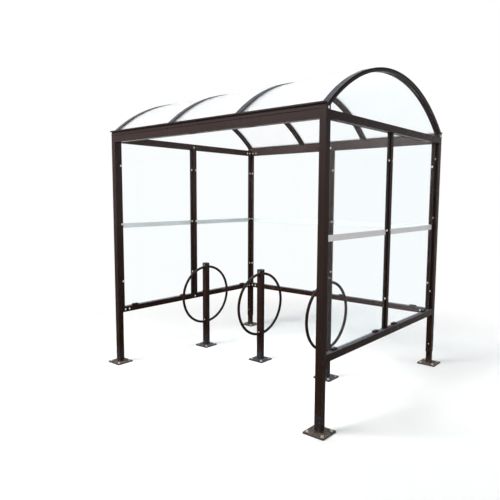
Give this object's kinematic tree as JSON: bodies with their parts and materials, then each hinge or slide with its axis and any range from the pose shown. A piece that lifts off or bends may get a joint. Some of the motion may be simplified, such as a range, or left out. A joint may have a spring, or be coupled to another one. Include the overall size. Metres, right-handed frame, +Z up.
{
  "type": "bike shelter",
  "caption": "Tube-framed bike shelter with a glazed barrel vault roof, glazed ends and back, an open front, and post-and-ring bike racks inside.",
  "frame": {"origin": "on the floor, at the centre of the footprint", "axes": "+X runs right along the open front, +Y to the back wall, +Z up"},
  "size_m": [2.4192, 2.0832, 2.5398],
  "materials": {
    "bronze_paint": "semi-gloss dark bronze paint",
    "rack_paint": "semi-gloss dark bronze paint",
    "clear_glazing": "clear sheet",
    "opal_glazing": "opal translucent sheet",
    "silver_stripe": "silver reflective film"
  },
  "bodies": {
    "root": {"back_bottom_rail": "bronze_paint", "back_glazing_clips": "bronze_paint", "back_header": "bronze_paint", "back_left_foot": "bronze_paint", "back_left_post": "bronze_paint", "back_middle_post": "bronze_paint", "back_right_foot": "bronze_paint", "back_right_post": "bronze_paint", "back_stripe": "silver_stripe", "back_wall_panel_left": "clear_glazing", "back_wall_panel_right": "clear_glazing", "front_header": "bronze_paint", "front_left_foot": "bronze_paint", "front_left_post": "bronze_paint", "front_right_foot": "bronze_paint", "front_right_post": "bronze_paint", "left_bottom_rail": "bronze_paint", "left_gable_panel": "clear_glazing", "left_glazing_clips": "bronze_paint", "left_header": "bronze_paint", "left_middle_post": "bronze_paint", "left_stripe": "silver_stripe", "left_wall_panel_back": "clear_glazing", "left_wall_panel_front": "clear_glazing", "rack_1_post": "rack_paint", "rack_1_ring": "rack_paint", "rack_2_post": "rack_paint", "rack_2_ring": "rack_paint", "rack_3_post": "rack_paint", "rack_3_ring": "rack_paint", "right_bottom_rail": "bronze_paint", "right_gable_panel": "clear_glazing", "right_glazing_clips": "bronze_paint", "right_header": "bronze_paint", "right_middle_post": "bronze_paint", "right_stripe": "silver_stripe", "right_wall_panel_back": "clear_glazing", "right_wall_panel_front": "clear_glazing", "roof_panel_1": "opal_glazing", "roof_panel_2": "opal_glazing", "roof_panel_3": "opal_glazing", "roof_rib_1": "bronze_paint", "roof_rib_2": "bronze_paint", "roof_rib_3": "bronze_paint", "roof_rib_4": "bronze_paint"}
  },
  "joints": []
}
